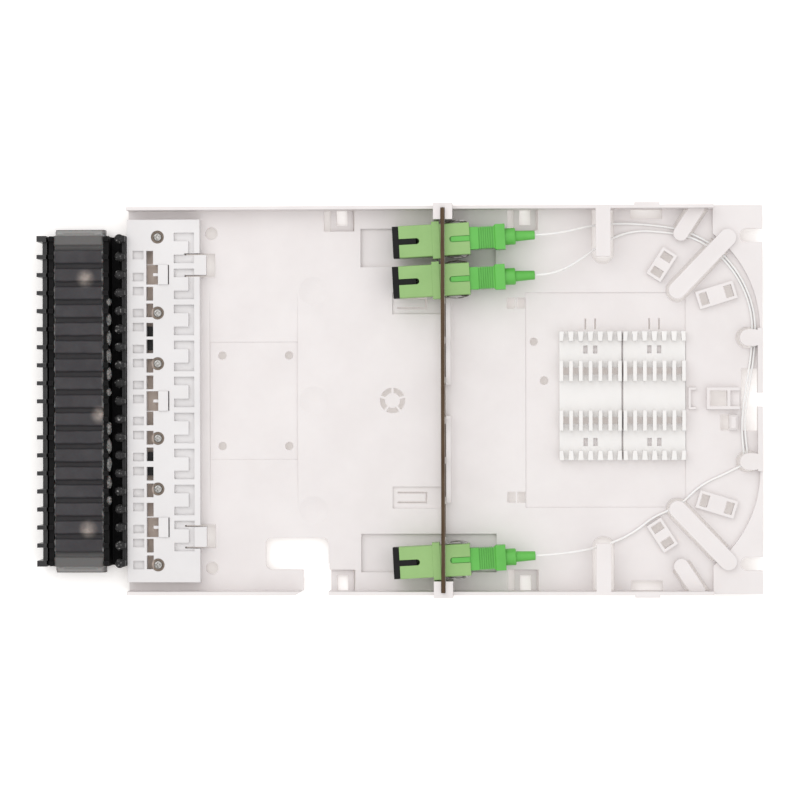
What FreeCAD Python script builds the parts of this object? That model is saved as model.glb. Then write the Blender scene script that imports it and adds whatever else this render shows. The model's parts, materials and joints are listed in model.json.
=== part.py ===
import FreeCAD, Part
import math
import os

V = FreeCAD.Vector

# All sizes are in millimetres and degrees.
# +X runs from the cable seal to the open splice end, +Z is up, and the origin is under the middle.

# Clearances
fit = 0.15
soft_gap = 0.3
seat_gap = 0.05
overcut = 1.0

# Tray shell
tray_length = 258.0
tray_width = 157.6
floor_lift = 3.0
floor_thickness = 2.0
wall_thickness = 1.3
wall_rise = 9.0
bare_end = 20.0

# Raised corners and fibre race at the open end
race_side_wall = 1.6
race_end_wall = 1.0
race_y = 29.0
corner_rise = 2.0
corner_rim = 1.6
rail_thickness = 2.0
rail_y = 2.8
tongue_rise = 4.0
tongue_thickness = 2.2

# Fibre tongues at the open end
d_tab_y = 25.1
d_tab_radius = 3.4
d_slot_radius = 4.3
d_tab_from_end = 5.9
long_tongue_radius = 3.5
long_slot_radius = 4.6
long_tongue_angle = 46.2
long_tongue_length = 29.4
long_root_gap = -2.6
wide_tongue_from_end = 64.5
wide_tongue_width = 6.0
wide_tongue_reach = 19.5
wide_slot_width = 8.7
wide_slot_reach = 22.0
wall_tab_from_end = 26.4
wall_tab_lean = 6.6
wall_tab_drop = 10.1
wall_tab_radius = 3.0
wall_tab_slit = 1.1

# Tie-down frames beside the long tongues
frame_rise = 2.2
frame_rim = 1.2
near_frame_gap = 20.9
near_frame_angle = 71.6
near_frame_length = 12.8
near_frame_width = 6.9
near_frame_turn = 57.0
far_frame_gap = 14.7
far_frame_angle = 23.7
far_frame_length = 16.0
far_frame_width = 7.4
far_frame_turn = 17.0
frame_window = 3.2

# Open end: mounting slots, end window and the catch beside it
mount_slot_width = 5.5
mount_slot_inset = 12.2
mount_slot_depth = 9.0
end_window_depth = 8.4
end_window_half = 12.6
catch_from_end = 22.6
catch_length = 13.4
catch_high_y = 5.0
catch_low_y = -3.9
catch_rim = 1.3
catch_rise = 3.0
stop_from_end = 16.9
stop_length = 6.9
stop_high_y = -6.1
stop_low_y = -12.4
stop_eye = 3.4
stop_rise = 3.0
stop_chamfer = 0.9
key_from_end = 29.9
key_length = 3.2
key_line = 1.0
key_rise = 1.5

# Snap lugs outside the side walls
lug_from_end = 46.8
lug_width = 10.0
lug_reach = 1.0
lug_drop = 6.0
lug_slot_width = 12.6
lug_slot_depth = 4.0

# Latch windows with a strap at the side walls
latch_stations = (-42.5, 32.2)
latch_length = 12.4
latch_depth = 8.5
strap_length = 9.3
strap_shift = 0.9
strap_bar = 2.4
strap_lift = 0.4

# Floor features near the seal
mount_hole_radius = 2.5
mount_hole_from_seal = 34.0
mount_hole_inset = 10.5
bracket_hole_radius = 1.65
bracket_hole_from_seal = 38.3
bracket_hole_step_x = 27.3
bracket_hole_step_y = 37.0
valley_from_seal = 33.2
valley_length = 36.0
valley_width = 89.0
valley_depth = 0.6
valley_flat = 52.0
bed_width = 48.0
bed_depth = 0.25
dish_from_seal = 75.6
dish_radius = 5.8
dish_depth = 0.9
dish_step = 44.7
ring_from_seal = 107.9
ring_outer = 5.1
ring_inner = 3.1
ring_spoke = 1.0
ring_slots = 5

# Cable cut-out in the side of the tray
bay_start = -72.8
bay_length = 25.7
bay_depth = 22.8
bay_land = 9.9
bay_radius = 2.6
bay_mouth_start = -57.4
bay_mouth_length = 10.6
bay_wall_gap = 4.5
bay_wall_slant = 4.0

# Floor features near the adapter plate
plate_offset = 0.2
catch_tongue_start = -20.9
catch_tongue_end = -1.4
catch_tongue_y = 39.6
catch_recess_width = 8.8
catch_recess_depth = 0.8
catch_slit = 0.6
catch_tongue_width = 3.4
catch_tongue_length = 12.0
catch_tongue_inset = 2.0
pocket_start = -33.8
pocket_end = 21.3
pocket_inset = 16.6
pocket_width = 15.6
pocket_wall = 1.5
pocket_floor = 3.2
clip_window_start = 25.8
clip_window_length = 7.3
clip_window_width = 4.3
clip_window_y = 39.5
clip_window_bar = 0.8
peg_hole_x = 36.6
peg_hole_y = 23.8
peg_hole_radius = 1.6
stud_hole_x = 40.8
stud_hole_y = 7.9
stud_hole_radius = 1.7
stud_sink_radius = 2.7
stud_sink_depth = 0.5

# Adapter plate and its seat
plate_thickness = 1.5
plate_height = 17.0
plate_end_inset = 1.3
adapter_pitch = 16.2
plate_end_land = 5.0
cutout_width = 13.4
cutout_height = 9.7
adapter_lift = 8.45
bracket_width = 7.7
bracket_reach = 0.8
bracket_depth = 5.3
bracket_drop = 2.0
plate_rib = 2.0
plate_rib_rise = 3.0
plate_rib_inner = 6.3
plate_rib_outer = 41.7

# SC adapter, on its own axis with the plate's middle at zero
adapter_skew = 3.0
adapter_width = 12.9
adapter_height = 9.3
adapter_cap_side = 17.7
adapter_plug_side = 10.9
adapter_edge = 0.5
flange_width = 15.0
flange_height = 9.6
flange_thickness = 3.1
port_width = 9.3
port_height = 7.7
key_slot_length = 8.2
key_slot_width = 2.4

# Latch holder, split sleeve and spring clip in each adapter
holder_wall = 1.2
holder_tube_radius = 2.4
holder_tube_length = 11.0
latch_arm_reach = 5.6
latch_arm_thickness = 0.9
latch_arm_height = 2.8
sleeve_outer = 1.65
sleeve_inner = 1.3
sleeve_length = 11.4
sleeve_slit = 0.4
clip_thickness = 0.3
clip_height = 6.4
clip_side_gap = 0.4
clip_end_inset = 0.8
clip_saddle = 3.0

# Dust cap
cap_flange_width = 12.7
cap_flange_height = 9.1
cap_flange_thickness = 2.4
cap_plug_length = 7.0
cap_wall = 1.0
cap_key_length = 7.4

# SC connector
plug_clearance = 0.15
grip_front = 0.2
grip_rear = 25.2
grip_wall = 1.0
grip_flare_from = 20.8
grip_flare_width = 10.2
grip_flare_height = 8.4
grip_groove_from = 14.7
grip_groove_pitch = 0.9
grip_groove_count = 7
grip_groove_width = 0.42
grip_groove_depth = 0.35
grip_window_length = 4.0
grip_key_length = 7.4
grip_travel = 2.0
collar_radius = 3.4
collar_rear = 29.4
collar_edge = 0.6
collar_clearance = 0.3
boot_length = 7.8
boot_radius_front = 2.2
boot_radius_rear = 1.8
boot_edge = 0.35
ferrule_radius = 1.25
ferrule_depth = 6.0

# Pigtail
fibre_diameter = 0.9

# Splice holders
holder_count = 2
holder_width = 25.2
holder_gap = 0.7
holder_length = 52.2
holder_from_end = 31.1
holder_middle_y = 1.7
holder_base = 1.5
holder_slots = 6
holder_slot_pitch = 3.96
holder_slot_width = 2.4
outer_comb_depth = 3.9
outer_comb_rise = 3.2
outer_slot_narrow = 1.6
inner_comb_depth = 8.3
inner_comb_inset = 11.9
inner_comb_rise = 4.0
splice_window_length = 2.7
holder_eye_length = 3.2
holder_eye_width = 1.7
holder_eye_inset = 7.3
splice_area_length = 65.0
splice_area_width = 87.4
splice_area_depth = 0.5
snap_slit = 0.6
snap_slit_length = 4.4
snap_slit_gap = 0.9

# Gel seal, from the comb tips to the tray
cable_count = 18
tooth_reach = 2.0
outer_plate = 1.8
outer_slit = 0.8
channel_wall = 1.9
gel_width = 20.6
inner_slit = 2.6
inner_post_reach = 2.9
inner_plate = 1.4
seal_gap = 0.3
channel_base = 2.0
seal_wall_top = 13.0
tooth_top = 16.0
tooth_width = 1.7
end_tooth_width = 2.4
knob_radius = 1.9
post_top = 15.0
gel_top = 13.4
gel_rib_rise = 1.2
gel_rib_width = 4.9
gel_rib_radius = 0.55
gel_tab_reach = 2.0
gel_tab_top = 10.5
seal_tongue_y = 25.6
seal_tongue_width = 9.6
seal_tongue_reach = 10.6
seal_tongue_thickness = 1.6

# Tie plate
tie_width = 29.7
tie_end_gap = 3.7
tie_end_land = 7.875
tie_height = 6.0
tie_skin = 3.7
tie_rim = 1.6
tie_bar = 2.3
tie_bar_depth = 0.7
tie_slot_depth = 1.6
tie_slot = 3.4
left_slot_start = 2.4
left_slot_length = 4.4
channel_start = 7.9
channel_width = 2.8
channel_bar = 1.2
hook_window_length = 4.9
hook_window_width = 8.0
hook_y = 51.4
hook_length = 4.0
hook_rise = 0.8
hook_slit = 0.4
right_slot_start = 19.2
right_slot_length = 8.2
right_post_length = 5.9
tie_screw_x = 12.5
tie_screw_rows = (15.2, 35.8)
tie_screw_end_inset = 7.1
screw_head_radius = 1.75
screw_head_height = 1.5
screw_shank_radius = 1.1
screw_shank_length = 4.2
screw_shank_margin = 0.2
screw_recess_radius = 2.65
screw_recess_depth = 1.3
screw_pilot_margin = 0.1
screw_slot_width = 0.6
screw_slot_length = 2.0
screw_slot_depth = 0.7
screw_boss_radius = 3.0
tie_latch_end_inset = 18.5
tie_latch_width = 8.1
tie_latch_root = 6.3
tie_latch_slit = 0.7
tie_latch_reach = 2.7
tie_latch_thickness = 2.0
tie_latch_leg = 1.8
tie_latch_barb = 1.2
tie_latch_window = 5.6

# Levels
z_under = floor_lift
z_floor = floor_lift + floor_thickness
z_wall = z_floor + wall_rise
z_corner = z_floor + corner_rise
z_tongue = z_floor + tongue_rise
z_axis = z_floor + adapter_lift
z_tie = z_floor + tie_height
z_splice = z_floor - splice_area_depth

# Places along X, with the seal's chain of sizes in front of the tray
half_width = tray_width / 2
wall_inner = half_width - wall_thickness
seal_inner = inner_slit + inner_post_reach + inner_plate + seal_gap
seal_reach = tooth_reach + outer_plate + outer_slit + 2 * channel_wall + gel_width + seal_inner
x_end = (tray_length + seal_reach) / 2
x_seal = x_end - tray_length
x_plate = x_seal + tray_length / 2 - plate_offset
wall_end = x_end - bare_end
race_radius = half_width - race_y - race_side_wall
x_race = x_end - race_radius - race_end_wall
half_tie = wall_inner - tie_end_gap
cable_pitch = 2 * (half_tie - tie_end_land) / cable_count
half_frame = cable_count / 2 * cable_pitch + end_tooth_width / 2
screw_rows = tie_screw_rows + (half_tie - tie_screw_end_inset,)
tie_latch_y = half_tie - tie_latch_end_inset
tooth_places = [(k - cable_count / 2) * cable_pitch for k in range(cable_count + 1)]

# Places across the tray that follow its walls
mount_slot_y = half_width - mount_slot_inset
mount_hole_y = half_width - mount_hole_inset
pocket_y = half_width - pocket_inset
bay_near_y = bay_depth - half_width
bay_far_y = bay_land - half_width
adapter_places = math.floor(2 * (half_width - plate_end_land) / adapter_pitch)
adapter_used = (1, 2, adapter_places)
clip_bow = (adapter_pitch - adapter_width) / 2 - clip_thickness - seat_gap - clip_side_gap


def box(x0, x1, y0, y1, z0, z1):
    return Part.makeBox(x1 - x0, y1 - y0, z1 - z0, V(x0, y0, z0))


def centred(length, width, height, middle=V(0, 0, 0)):
    corner = middle - V(length / 2, width / 2, height / 2)
    return Part.makeBox(length, width, height, corner)


def rod(x, y, radius, z0, z1):
    return Part.makeCylinder(radius, z1 - z0, V(x, y, z0))


def axial(radius, x0, x1):
    return Part.makeCylinder(radius, x1 - x0, V(x0, 0, 0), V(1, 0, 0))


def prism(points, z0, z1):
    loop = [V(x, y, z0) for x, y in points]
    face = Part.Face(Part.makePolygon(loop + loop[:1]))
    return face.extrude(V(0, 0, z1 - z0))


def rounded(x0, x1, y0, y1, z0, z1, radius):
    block = box(x0, x1, y0, y1, z0, z1)
    upright = [e for e in block.Edges if abs(e.tangentAt(e.FirstParameter).z) > 0.5]
    return block.makeFillet(radius, upright)


def stadium(start, stop, radius, z0, z1):
    run = V(stop[0] - start[0], stop[1] - start[1], 0)
    bar = Part.makeBox(run.Length, 2 * radius, z1 - z0, V(0, -radius, 0))
    bar = bar.fuse([rod(0, 0, radius, 0, z1 - z0), rod(run.Length, 0, radius, 0, z1 - z0)])
    bar = bar.removeSplitter()
    bar.rotate(V(0, 0, 0), V(0, 0, 1), math.degrees(math.atan2(run.y, run.x)))
    bar.translate(V(start[0], start[1], z0))
    return bar


def both(shape):
    return [shape, shape.mirror(V(0, 0, 0), V(0, 1, 0))]


def turned(shape, x, y, angle):
    shape.rotate(V(0, 0, 0), V(0, 0, 1), angle)
    shape.translate(V(x, y, 0))
    return shape


def joined(shapes):
    return shapes[0].fuse(shapes[1:]).removeSplitter()


def race_place(gap, angle):
    reach = race_radius - gap
    return (x_race + reach * math.cos(math.radians(angle)), race_y + reach * math.sin(math.radians(angle)))


# Base tray

def tray_shell():
    floor = box(x_seal, x_end, -half_width, half_width, z_under, z_floor)
    wall = box(x_seal, wall_end, wall_inner, half_width, 0, z_wall)
    corner = box(wall_end, x_end, race_y, half_width, z_under, z_corner)
    corner = corner.cut(rod(x_race, race_y, race_radius, 0, z_corner + overcut))
    pocket = box(x_plate + pocket_start - pocket_wall, x_plate + pocket_end + pocket_wall,
                 pocket_y - pocket_width / 2 - pocket_wall, pocket_y + pocket_width / 2 + pocket_wall, 0, z_floor)
    rail = box(x_end - rail_thickness, x_end, rail_y, race_y, z_under, z_tongue)
    return joined([floor] + both(wall) + both(corner) + both(pocket) + both(rail))


def corner_hollow():
    hollow = box(wall_end + corner_rim, x_end - corner_rim, race_y, half_width - corner_rim,
                 z_under - overcut, z_corner - floor_thickness)
    return hollow.cut(rod(x_race, race_y, race_radius + corner_rim, 0, z_corner))


def through(shape_maker, *sizes):
    return shape_maker(*sizes, -overcut, z_floor + overcut)


def seal_side_cuts():
    cuts = both(rod(x_seal + mount_hole_from_seal, mount_hole_y, mount_hole_radius, 0, z_floor + overcut))
    for x in (0, bracket_hole_step_x):
        hole_x = x_seal + bracket_hole_from_seal + x
        cuts += both(rod(hole_x, bracket_hole_step_y / 2, bracket_hole_radius, 0, z_floor + overcut))
    valley_x = x_seal + valley_from_seal
    slope = [(-valley_width / 2, z_floor), (-valley_flat / 2, z_floor - valley_depth),
             (valley_flat / 2, z_floor - valley_depth), (valley_width / 2, z_floor),
             (valley_width / 2, z_floor + overcut), (-valley_width / 2, z_floor + overcut)]
    loop = [V(valley_x, y, z) for y, z in slope]
    valley = Part.Face(Part.makePolygon(loop + loop[:1])).extrude(V(valley_length, 0, 0))
    bed = box(valley_x, valley_x + valley_length, -bed_width / 2, bed_width / 2,
              z_floor - valley_depth - bed_depth, z_floor)
    cuts += [valley, bed]
    ball_radius = (dish_radius ** 2 + dish_depth ** 2) / (2 * dish_depth)
    for y in (-dish_step, 0, dish_step):
        middle = V(x_seal + dish_from_seal, y, z_floor - dish_depth + ball_radius)
        cuts.append(Part.makeSphere(ball_radius, middle))
    return cuts


def ring_cut():
    ring = rod(0, 0, ring_outer, 0, z_floor + overcut).cut(rod(0, 0, ring_inner, 0, z_floor + overcut))
    spokes = []
    for k in range(ring_slots):
        spoke = box(0, ring_outer + overcut, -ring_spoke / 2, ring_spoke / 2, 0, z_floor + overcut)
        spoke.rotate(V(0, 0, 0), V(0, 0, 1), 90 + k * 360 / ring_slots)
        spokes.append(spoke)
    return turned(ring.cut(spokes), x_seal + ring_from_seal, 0, 0)


def cable_bay_cuts():
    bay_x = x_plate + bay_start
    mouth_x = x_plate + bay_mouth_start
    mouth_end = mouth_x + bay_mouth_length
    bay = through(lambda z0, z1: rounded(bay_x, bay_x + bay_length, bay_far_y, bay_near_y, z0, z1, bay_radius))
    mouth = box(mouth_x, mouth_end, -half_width - overcut, bay_far_y + bay_radius, -overcut, z_wall + overcut)
    slant = [(mouth_x - bay_wall_gap, -half_width - overcut), (mouth_x, -half_width - overcut),
             (mouth_x, -wall_inner), (mouth_x - bay_wall_gap + bay_wall_slant, -wall_inner)]
    return [bay, mouth, prism(slant, -overcut, z_wall + overcut)]


def plate_side_cuts():
    cuts = []
    recess = box(x_plate + catch_tongue_start, x_plate + catch_tongue_end,
                 catch_tongue_y - catch_recess_width / 2, catch_tongue_y + catch_recess_width / 2,
                 z_floor - catch_recess_depth, z_floor + overcut)
    slit_x = x_plate + catch_tongue_start + catch_tongue_inset
    slit_end = slit_x + catch_tongue_length
    half = catch_tongue_width / 2
    side_slit = box(slit_x, slit_end, half, half + catch_slit, 0, z_floor)
    end_slit = box(slit_end - catch_slit, slit_end, -half - catch_slit, half + catch_slit, 0, z_floor)
    slits = joined(both(side_slit) + [end_slit])
    slits.translate(V(0, catch_tongue_y, 0))
    pocket = box(x_plate + pocket_start, x_plate + pocket_end, pocket_y - pocket_width / 2,
                 pocket_y + pocket_width / 2, pocket_floor, z_floor + overcut)
    window_x = x_plate + clip_window_start
    window_mid = window_x + clip_window_length / 2
    low = clip_window_y - clip_window_width / 2
    high = clip_window_y + clip_window_width / 2
    left = box(window_x, window_mid - clip_window_bar / 2, low, high, 0, z_floor + overcut)
    right = box(window_mid + clip_window_bar / 2, window_x + clip_window_length, low, high, 0, z_floor + overcut)
    for shape in (recess, slits, pocket, left, right):
        cuts += both(shape)
    stud_x = x_plate + stud_hole_x
    cuts.append(rod(x_plate + peg_hole_x, peg_hole_y, peg_hole_radius, 0, z_floor + overcut))
    cuts.append(rod(stud_x, stud_hole_y, stud_hole_radius, 0, z_floor + overcut))
    cuts.append(rod(stud_x, stud_hole_y, stud_sink_radius, z_floor - stud_sink_depth, z_floor + overcut))
    return cuts


def latch_windows():
    cuts = []
    for station in latch_stations:
        x = x_plate + station
        cuts += both(box(x - latch_length / 2, x + latch_length / 2, wall_inner - latch_depth, wall_inner,
                         -overcut, z_floor + overcut))
    lug_x = x_end - lug_from_end
    cuts += both(box(lug_x - lug_slot_width / 2, lug_x + lug_slot_width / 2, wall_inner - lug_slot_depth,
                     wall_inner, -overcut, z_floor + overcut))
    return cuts


def latch_straps():
    straps = []
    for station in latch_stations:
        x = x_plate + station + strap_shift
        strap = box(x - strap_length / 2, x + strap_length / 2, wall_inner - latch_depth + fit, wall_inner,
                    strap_lift, strap_lift + floor_thickness)
        eye = box(x - strap_length / 2 + strap_bar, x + strap_length / 2 - strap_bar,
                  wall_inner - latch_depth + strap_bar, wall_inner, 0, z_floor)
        straps += both(strap.cut(eye))
    return straps


wall_tab_root = (x_end - wall_tab_from_end, wall_inner)
wall_tab_tip = (wall_tab_root[0] - wall_tab_lean, wall_inner - wall_tab_drop)
long_root = race_place(long_root_gap, long_tongue_angle)
long_tip = race_place(long_root_gap + long_tongue_length, long_tongue_angle)


def fibre_slots():
    long_slot = stadium(long_tip, long_root, long_slot_radius, -overcut, z_floor + overcut)
    long_slot = long_slot.common(rod(x_race, race_y, race_radius - corner_rim, -overcut, z_floor + overcut))
    d_x = x_end - d_tab_from_end
    d_slot = stadium((d_x, d_tab_y), (x_end - rail_thickness - d_slot_radius, d_tab_y), d_slot_radius,
                     -overcut, z_floor + overcut)
    wide_x = x_end - wide_tongue_from_end
    wide_slot = rounded(wide_x - wide_slot_width / 2, wide_x + wide_slot_width / 2, wall_inner - wide_slot_reach,
                        wall_inner + wide_slot_width / 2, -overcut, z_floor + overcut, wide_slot_width / 2 - fit)
    wide_slot = wide_slot.cut(box(x_seal, x_end, wall_inner, half_width, -2 * overcut, z_wall))
    run = math.hypot(wall_tab_lean, wall_tab_drop) + wall_tab_drop
    half = wall_tab_radius + wall_tab_slit
    tab_slot = turned(box(0, run, -half, half, -overcut, z_floor + overcut), *wall_tab_tip,
                      math.degrees(math.atan2(wall_tab_drop, wall_tab_lean)))
    tab_slot = tab_slot.common(box(x_seal, x_end, 0, wall_inner, -overcut, z_floor + overcut))
    cuts = []
    for shape in (long_slot, d_slot, wide_slot, tab_slot):
        cuts += both(shape)
    return cuts


def fibre_tongues():
    tongue_low = z_tongue - tongue_thickness
    long_tongue = stadium(long_tip, long_root, long_tongue_radius, tongue_low, z_tongue)
    d_tab = stadium((x_end - d_tab_from_end, d_tab_y), (x_end - d_tab_radius, d_tab_y), d_tab_radius,
                    tongue_low, z_tongue)
    wide_x = x_end - wide_tongue_from_end
    wide = rounded(wide_x - wide_tongue_width / 2, wide_x + wide_tongue_width / 2,
                   wall_inner - wide_tongue_reach, half_width, z_wall - tongue_thickness, z_wall,
                   wall_thickness / 2)
    wall_tab = stadium(wall_tab_tip, wall_tab_root, wall_tab_radius, tongue_low, z_tongue)
    wall_tab = wall_tab.common(box(x_seal, x_end, 0, half_width - fit, tongue_low, z_tongue))
    tongues = []
    for shape in (long_tongue, d_tab, wide, wall_tab):
        tongues += both(shape)
    return tongues


def tie_frame(length, width, x, y, angle):
    block = box(-length / 2, length / 2, -width / 2, width / 2, z_under, z_floor + frame_rise)
    return both(turned(block, x, y, angle))


def tie_frame_windows(length, width, x, y, angle):
    end = length / 2 - frame_rim
    half = width / 2 - frame_rim
    window = box(end - frame_window, end, -half, half, -overcut, z_floor + frame_rise + overcut)
    other = window.mirror(V(0, 0, 0), V(1, 0, 0))
    return both(turned(window.fuse(other), x, y, angle))


near_frame = (near_frame_length, near_frame_width, *race_place(near_frame_gap, near_frame_angle), near_frame_turn)
far_frame = (far_frame_length, far_frame_width, *race_place(far_frame_gap, far_frame_angle), far_frame_turn)


def open_end_cuts():
    slot_x = x_end - mount_slot_depth + mount_slot_width / 2
    slot = stadium((slot_x, mount_slot_y), (x_end + mount_slot_width, mount_slot_y), mount_slot_width / 2,
                   -overcut, z_corner + overcut)
    window = box(x_end - end_window_depth, x_end - rail_thickness, -end_window_half, end_window_half,
                 -overcut, z_floor + overcut)
    gap = box(x_end - rail_thickness - overcut, x_end + overcut, -rail_y, rail_y, -overcut, z_floor + overcut)
    catch_x = x_end - catch_from_end
    eye = box(catch_x + catch_rim, catch_x + catch_length * 0.62, catch_low_y + catch_rim,
              catch_high_y - catch_rim, -overcut, z_floor + overcut)
    stop_x = x_end - stop_from_end
    stop_hole = box(stop_x, stop_x + stop_eye, stop_low_y, stop_high_y, -overcut, z_floor + overcut)
    return both(slot) + [window, gap, eye, stop_hole]


def open_end_details():
    catch_x = x_end - catch_from_end
    catch = box(catch_x, catch_x + catch_length, catch_low_y, catch_high_y, z_under, z_floor + catch_rise)
    eye_end = catch_x + catch_length * 0.62
    eye = box(catch_x + catch_rim, eye_end, catch_low_y + catch_rim, catch_high_y - catch_rim,
              -overcut, z_floor + catch_rise + overcut)
    lead = box(eye_end + catch_rim, catch_x + catch_length + overcut, catch_low_y + catch_rim,
               catch_high_y - catch_rim, z_floor + catch_rim, z_floor + catch_rise + overcut)
    stop_x = x_end - stop_from_end
    stop = box(stop_x + stop_eye, stop_x + stop_length, stop_low_y, stop_high_y, z_floor, z_floor + stop_rise)
    top = [e for e in stop.Edges if e.BoundBox.ZMin > z_floor + stop_rise / 2]
    stop = stop.makeChamfer(stop_chamfer, top)
    key_x = x_end - key_from_end
    key = box(key_x, key_x + key_length, catch_low_y, catch_high_y, z_splice, z_floor + key_rise)
    key = key.cut(box(key_x + key_line, key_x + key_length + overcut, catch_low_y + key_line,
                      catch_high_y - key_line, z_floor, z_floor + key_rise + overcut))
    return [catch.cut([eye, lead]), stop, key]


def splice_area_cuts():
    area_end = x_end - holder_from_end + fit
    cuts = [box(area_end - splice_area_length, area_end, -splice_area_width / 2, splice_area_width / 2,
                z_splice, z_floor + overcut)]
    for k in range(holder_count):
        middle_x = holder_middle(k)
        reach = holder_slot_pitch * (holder_slots - 1) / 2 + holder_slot_width / 2
        for side in (-1, 1):
            y = holder_middle_y + side * window_offset()
            cuts.append(box(middle_x - reach, middle_x + reach, y - splice_window_length / 2,
                            y + splice_window_length / 2, -overcut, z_floor))
        slit_y = holder_middle_y + holder_length / 2 + snap_slit_gap
        for offset in (-holder_slot_pitch / 2, holder_slot_pitch / 2):
            x = middle_x + offset
            cuts.append(box(x - snap_slit / 2, x + snap_slit / 2, slit_y, slit_y + snap_slit_length,
                            -overcut, z_floor + overcut))
    return cuts


def plate_seats():
    outer = half_width + bracket_reach
    bracket_top = z_floor + plate_height - bracket_drop
    bracket = box(x_plate - bracket_width / 2, x_plate + bracket_width / 2, outer - bracket_depth - wall_thickness,
                  outer, 0, bracket_top)
    slot_half = plate_thickness / 2 + fit
    slot = box(x_plate - slot_half, x_plate + slot_half, 0, half_width - plate_end_inset + fit,
               z_floor, bracket_top + overcut)
    rib_x = x_plate + slot_half
    rib = box(rib_x, rib_x + plate_rib, plate_rib_inner, plate_rib_outer, z_under, z_floor + plate_rib_rise)
    return both(bracket) + both(rib), both(slot)


def snap_lugs():
    lug_x = x_end - lug_from_end
    profile = [(half_width - wall_thickness / 2, z_wall - lug_drop), (half_width, z_wall - lug_drop),
               (half_width + lug_reach, z_wall - lug_drop / 2), (half_width + lug_reach, z_wall),
               (half_width - wall_thickness / 2, z_wall)]
    loop = [V(lug_x - lug_width / 2, y, z) for y, z in profile]
    face = Part.Face(Part.makePolygon(loop + loop[:1]))
    return both(face.extrude(V(lug_width, 0, 0)))


def tie_latch_windows():
    edge = x_seal + tie_width
    x = edge + fit
    low = tie_latch_y - tie_latch_width / 2 - tie_latch_slit
    high = tie_latch_y + tie_latch_width / 2 + tie_latch_slit
    window = box(x, x + tie_latch_window, low, high, -overcut, z_floor + overcut)
    slits = [box(edge - tie_latch_root, x, y, y + tie_latch_slit, -overcut, z_floor + overcut)
             for y in (low, high - tie_latch_slit)]
    return both(joined([window] + slits))


def screw_places():
    return [(x_seal + tie_screw_x, side * y) for y in screw_rows for side in (-1, 1)]


def screw_bosses():
    boss_top = z_tie - tie_skin
    bosses = [rod(x, y, screw_boss_radius, z_floor, boss_top) for x, y in screw_places()]
    pilots = [rod(x, y, screw_shank_radius + screw_pilot_margin, z_floor, boss_top + overcut)
              for x, y in screw_places()]
    return bosses, pilots


def base_tray():
    seats, seat_slots = plate_seats()
    bosses, pilots = screw_bosses()
    tray = tray_shell()
    tray = joined([tray] + tie_frame(*near_frame) + tie_frame(*far_frame) + seats)
    cuts = both(corner_hollow()) + seal_side_cuts() + [ring_cut()] + cable_bay_cuts() + plate_side_cuts()
    cuts += latch_windows() + fibre_slots() + open_end_cuts() + splice_area_cuts() + seat_slots + tie_latch_windows()
    cuts += tie_frame_windows(*near_frame) + tie_frame_windows(*far_frame)
    tray = tray.cut(cuts)
    raised = latch_straps() + fibre_tongues() + open_end_details() + snap_lugs() + bosses
    return joined([tray] + raised).cut(pilots)


# Gel seal

def seal_places():
    tip = x_seal - seal_reach
    outer = tip + tooth_reach
    near_wall = outer + outer_plate + outer_slit
    gel = near_wall + channel_wall
    far_wall = gel + gel_width
    post = far_wall + channel_wall + inner_slit
    plate = post + inner_post_reach
    return tip, outer, near_wall, gel, far_wall, post, plate


def tooth_width_at(k):
    return end_tooth_width if k in (0, cable_count) else tooth_width


def seal_channel():
    tip, outer, near_wall, gel, far_wall, post, plate = seal_places()
    pieces = [box(outer, plate + inner_plate, -half_frame, half_frame, 0, channel_base)]
    for x in (near_wall, far_wall):
        pieces.append(box(x, x + channel_wall, -half_frame, half_frame, 0, seal_wall_top))
        for y in tooth_places:
            pieces.append(box(x, x + channel_wall, y - tooth_width / 2, y + tooth_width / 2, 0, post_top))
    return joined(pieces)


def outer_comb():
    tip, outer = seal_places()[:2]
    pieces = [box(outer, outer + outer_plate, -half_frame, half_frame, channel_base, seal_wall_top)]
    for k, y in enumerate(tooth_places):
        half = tooth_width_at(k) / 2
        pieces.append(box(tip, outer + outer_plate, y - half, y + half, channel_base, tooth_top))
    return joined(pieces)


def inner_comb():
    post, plate = seal_places()[5:]
    rear = plate + inner_plate
    pieces = [box(plate, rear, -half_frame, half_frame, channel_base, seal_wall_top)]
    for k, y in enumerate(tooth_places):
        half = tooth_width_at(k) / 2
        pieces.append(box(plate, rear, y - half, y + half, channel_base, tooth_top))
        knob = rod(post + knob_radius, y, knob_radius, channel_base, tooth_top)
        crown = [e for e in knob.Edges if e.BoundBox.ZMin > tooth_top - seat_gap]
        pieces.append(knob.makeFillet(knob_radius * 0.7, crown))
    tongue_low = z_floor + soft_gap
    tongue = box(plate, rear + seal_tongue_reach, seal_tongue_y - seal_tongue_width / 2,
                 seal_tongue_y + seal_tongue_width / 2, tongue_low, tongue_low + seal_tongue_thickness)
    return joined(pieces + both(tongue))


def gel_block():
    gel, far_wall = seal_places()[3:5]
    x0 = gel + soft_gap
    x1 = far_wall - soft_gap
    bottom = channel_base + soft_gap
    block = box(x0, x1, -half_frame, half_frame, bottom, gel_top)
    ribs = []
    for k, y in enumerate(tooth_places):
        low = max(y - gel_rib_width / 2, -half_frame)
        high = min(y + gel_rib_width / 2, half_frame)
        rib = box(x0, x1, low, high, gel_top - gel_rib_rise, gel_top + gel_rib_rise)
        crest = [e for e in rib.Edges if e.BoundBox.ZMin > gel_top + gel_rib_rise / 2]
        ribs.append(rib.makeFillet(gel_rib_radius, crest))
    tab = box(x0, x1, half_frame, half_frame + gel_tab_reach, bottom, gel_tab_top)
    soft = [e for e in tab.Edges if e.BoundBox.YMin > half_frame + gel_tab_reach / 2]
    tab = tab.makeFillet(gel_tab_reach * 0.7, soft)
    return joined([block] + ribs + both(tab))


# Tie plate and its screws

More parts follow.
